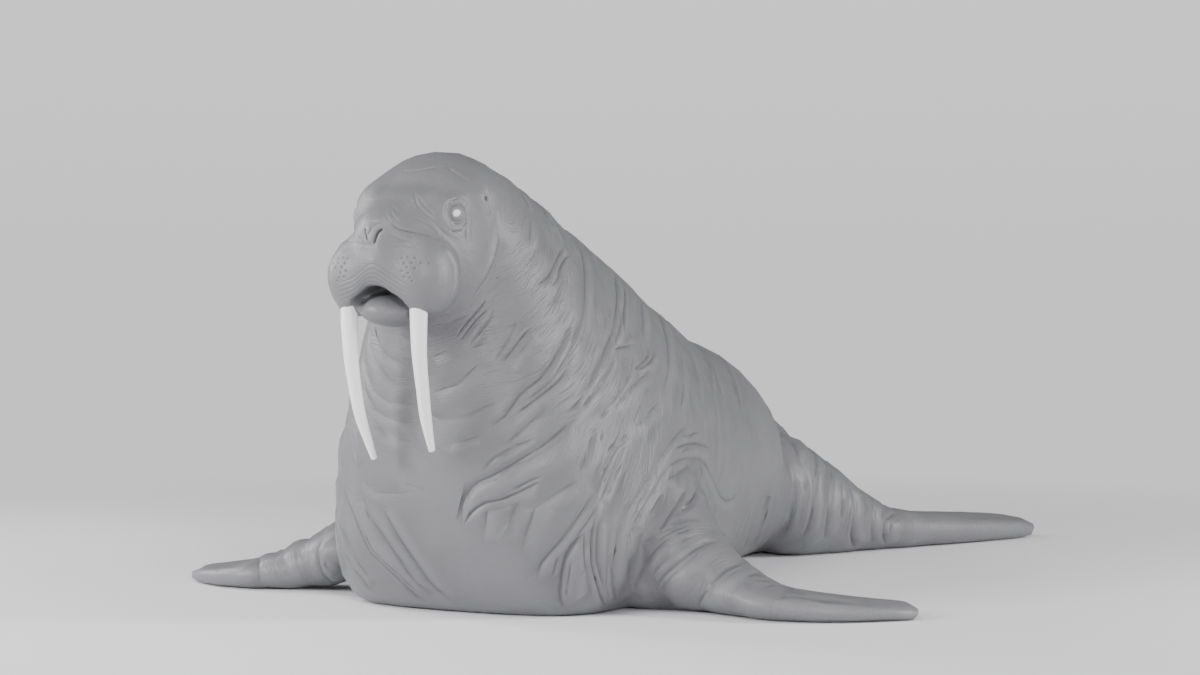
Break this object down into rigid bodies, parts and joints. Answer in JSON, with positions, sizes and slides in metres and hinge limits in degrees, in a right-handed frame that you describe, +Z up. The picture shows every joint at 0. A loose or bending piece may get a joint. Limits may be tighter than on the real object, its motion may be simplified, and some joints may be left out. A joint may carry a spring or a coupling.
{
  "type": "walrus",
  "caption": "Life-size still model of an adult bull walrus resting on its belly with its chest and head raised and its flippers spread on the floor.",
  "frame": {"origin": "on the floor under the ribs, on the flat of the belly", "axes": "+X towards the snout, +Y to the animal's left, +Z up"},
  "size_m": [3.3325, 2.4286, 1.3534],
  "materials": {
    "skin": "thick folded hide, matte with a faint sheen",
    "tusk": "smooth ivory",
    "eye": "wet gloss"
  },
  "bodies": {
    "root": {"head": "skin", "muzzle_pad_left": "skin", "muzzle_pad_right": "skin", "lower_jaw": "skin", "upper_eyelid_left": "skin", "upper_eyelid_right": "skin", "lower_eyelid_left": "skin", "lower_eyelid_right": "skin", "ear_left": "skin", "ear_right": "skin", "neck": "skin", "chest": "skin", "abdomen": "skin", "hindquarters": "skin", "tail": "skin", "foreleg_left": "skin", "foreleg_right": "skin", "fore_flipper_left": "skin", "fore_flipper_right": "skin", "hind_leg_left": "skin", "hind_leg_right": "skin", "hind_flipper_left": "skin", "hind_flipper_right": "skin", "eye_left": "eye", "eye_right": "eye", "tusk_left": "tusk", "tusk_right": "tusk"}
  },
  "joints": []
}
